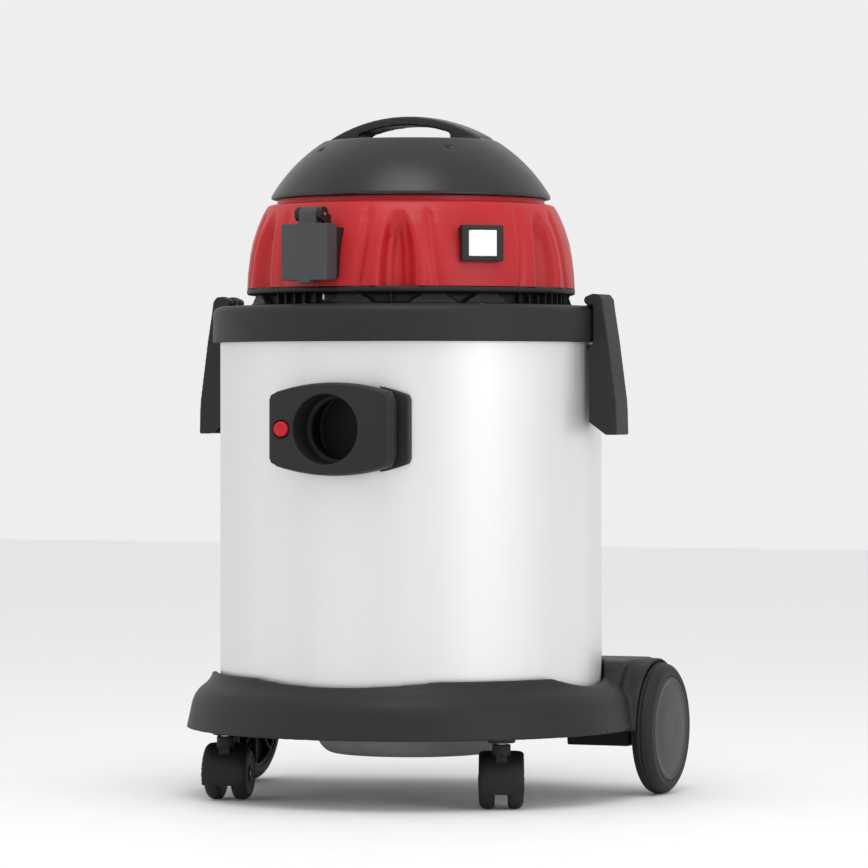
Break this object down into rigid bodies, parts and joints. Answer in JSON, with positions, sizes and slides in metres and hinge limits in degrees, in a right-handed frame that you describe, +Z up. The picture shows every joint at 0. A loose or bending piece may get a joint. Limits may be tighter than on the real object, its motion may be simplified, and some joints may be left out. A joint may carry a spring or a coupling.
{
  "type": "shop vacuum",
  "caption": "Wet and dry shop vacuum: steel tank on a wheeled base, red motor head with a domed cap, strap handle, tool socket, side latches and a hose inlet plate.",
  "frame": {"origin": "on the floor, on the tank's axis", "axes": "+Z up, -Y towards the front with the hose inlet, +X towards the right-hand latch"},
  "size_m": [0.453, 0.4239, 0.641],
  "materials": {
    "black_plastic": "fine moulded grain, satin",
    "dome_plastic": "satin gloss",
    "dark_plastic": "satin",
    "wheel_plastic": "satin",
    "hub_plastic": "satin",
    "grey_plastic": "matte",
    "cover_plastic": "fine grain",
    "red_plastic": "satin gloss",
    "red_button": "gloss",
    "white_plastic": "gloss",
    "cream_plastic": "matte",
    "tank_steel": "vertical brush lines",
    "steel": "turned",
    "brass": "plain",
    "iron": "laminated and varnished",
    "fan_metal": "pressed",
    "seal_rubber": "matte",
    "tyre": "matte, smooth tread",
    "foam": "open foam",
    "filter_paper": "pleated"
  },
  "bodies": {
    "base": {"base_chassis": "black_plastic", "base_screws": "steel", "sump_pan": "grey_plastic", "rear_axle": "steel", "axle_clips": "steel", "tank": "tank_steel", "latch_catches": "black_plastic", "inlet_flange": "black_plastic", "inlet_plate": "black_plastic", "inlet_gasket": "seal_rubber", "inlet_deflector": "black_plastic", "inlet_screws": "steel"},
    "inlet_button": {"inlet_button": "red_button"},
    "head": {"lid_ring": "black_plastic", "ring_screws": "steel", "head_plate": "black_plastic", "head_seal": "seal_rubber", "exhaust_grille": "black_plastic", "latch_pins": "steel", "motor_housing": "red_plastic", "housing_screws": "steel", "dome_cap": "dome_plastic", "cable_gland": "seal_rubber", "socket_body": "dark_plastic", "socket_contacts": "brass", "socket_hinge_pin": "steel", "switch_bezel": "dark_plastic", "switch_pin": "steel", "motor_stator": "iron", "motor_bearings": "steel", "fan_shroud": "fan_metal", "motor_mount": "seal_rubber", "sound_foam": "foam", "terminal_block": "cream_plastic", "float_cage": "cream_plastic", "filter_frame": "dark_plastic", "filter_media": "filter_paper"},
    "latch_left": {"latch_left": "black_plastic"},
    "latch_right": {"latch_right": "black_plastic"},
    "socket_cover": {"socket_cover": "cover_plastic"},
    "switch_rocker": {"switch_rocker": "white_plastic"},
    "rotor": {"motor_armature": "iron", "turbine_fan": "fan_metal", "cooling_fan": "dark_plastic"},
    "float": {"float_ball": "cream_plastic"},
    "wheel_left": {"wheel_tyre_left": "tyre", "wheel_hub_left": "wheel_plastic", "hub_caps_left": "hub_plastic"},
    "wheel_right": {"wheel_tyre_right": "tyre", "wheel_hub_right": "wheel_plastic", "hub_caps_right": "hub_plastic"},
    "caster_left": {"caster_fork_left": "wheel_plastic", "caster_pins_left": "steel"},
    "caster_right": {"caster_fork_right": "wheel_plastic", "caster_pins_right": "steel"},
    "caster_wheel_left_a": {"caster_wheel_left_a": "tyre"},
    "caster_wheel_left_b": {"caster_wheel_left_b": "tyre"},
    "caster_wheel_right_a": {"caster_wheel_right_a": "tyre"},
    "caster_wheel_right_b": {"caster_wheel_right_b": "tyre"}
  },
  "joints": [
    {"name": "head_lift", "type": "slide", "parent": "base", "child": "head", "axis": [0, 0, 1], "range_m": [0, 0.35]},
    {"name": "latch_right_swing", "type": "hinge", "parent": "head", "child": "latch_right", "pos_m": [0.184, 0, 0.466], "axis": [0, -1, 0], "range_deg": [-1.5, 75]},
    {"name": "latch_left_swing", "type": "hinge", "parent": "head", "child": "latch_left", "pos_m": [-0.184, 0, 0.466], "axis": [0, 1, 0], "range_deg": [-1.5, 75]},
    {"name": "socket_cover_flip", "type": "hinge", "parent": "head", "child": "socket_cover", "pos_m": [-0.03512, -0.15712, 0.544], "axis": [-0.9759, 0.2181, 0], "range_deg": [0, 100], "stiffness_Nm_per_rad": 0.02, "springref_deg": -17.19},
    {"name": "switch_rock", "type": "hinge", "parent": "head", "child": "switch_rocker", "pos_m": [0.1128, -0.10704, 0.517], "axis": [0, 0, 1], "range_deg": [0, 14]},
    {"name": "inlet_button_press", "type": "slide", "parent": "base", "child": "inlet_button", "axis": [0, 1, 0], "range_m": [0, 0.0025], "stiffness_N_per_m": 400},
    {"name": "motor_spin", "type": "hinge", "parent": "head", "child": "rotor", "pos_m": [0, 0, 0.53], "axis": [0, 0, 1], "continuous": true},
    {"name": "float_rise", "type": "slide", "parent": "head", "child": "float", "axis": [0, 0, 1], "range_m": [0, 0.025]},
    {"name": "wheel_left_spin", "type": "hinge", "parent": "base", "child": "wheel_left", "pos_m": [-0.2135, 0.104, 0.062], "axis": [1, 0, 0], "continuous": true},
    {"name": "wheel_right_spin", "type": "hinge", "parent": "base", "child": "wheel_right", "pos_m": [0.2135, 0.104, 0.062], "axis": [1, 0, 0], "continuous": true},
    {"name": "caster_left_swivel", "type": "hinge", "parent": "base", "child": "caster_left", "pos_m": [-0.1375, -0.1205, 0.06], "axis": [0, 0, 1], "continuous": true},
    {"name": "caster_right_swivel", "type": "hinge", "parent": "base", "child": "caster_right", "pos_m": [0.1375, -0.1205, 0.06], "axis": [0, 0, 1], "continuous": true},
    {"name": "caster_wheel_left_a_spin", "type": "hinge", "parent": "caster_left", "child": "caster_wheel_left_a", "pos_m": [-0.13993, -0.10671, 0.0245], "axis": [0.9848, 0.1736, 0], "continuous": true},
    {"name": "caster_wheel_left_b_spin", "type": "hinge", "parent": "caster_left", "child": "caster_wheel_left_b", "pos_m": [-0.13993, -0.10671, 0.0245], "axis": [0.9848, 0.1736, 0], "continuous": true},
    {"name": "caster_wheel_right_a_spin", "type": "hinge", "parent": "caster_right", "child": "caster_wheel_right_a", "pos_m": [0.13226, -0.10752, 0.0245], "axis": [0.9272, 0.3746, 0], "continuous": true},
    {"name": "caster_wheel_right_b_spin", "type": "hinge", "parent": "caster_right", "child": "caster_wheel_right_b", "pos_m": [0.13226, -0.10752, 0.0245], "axis": [0.9272, 0.3746, 0], "continuous": true}
  ]
}
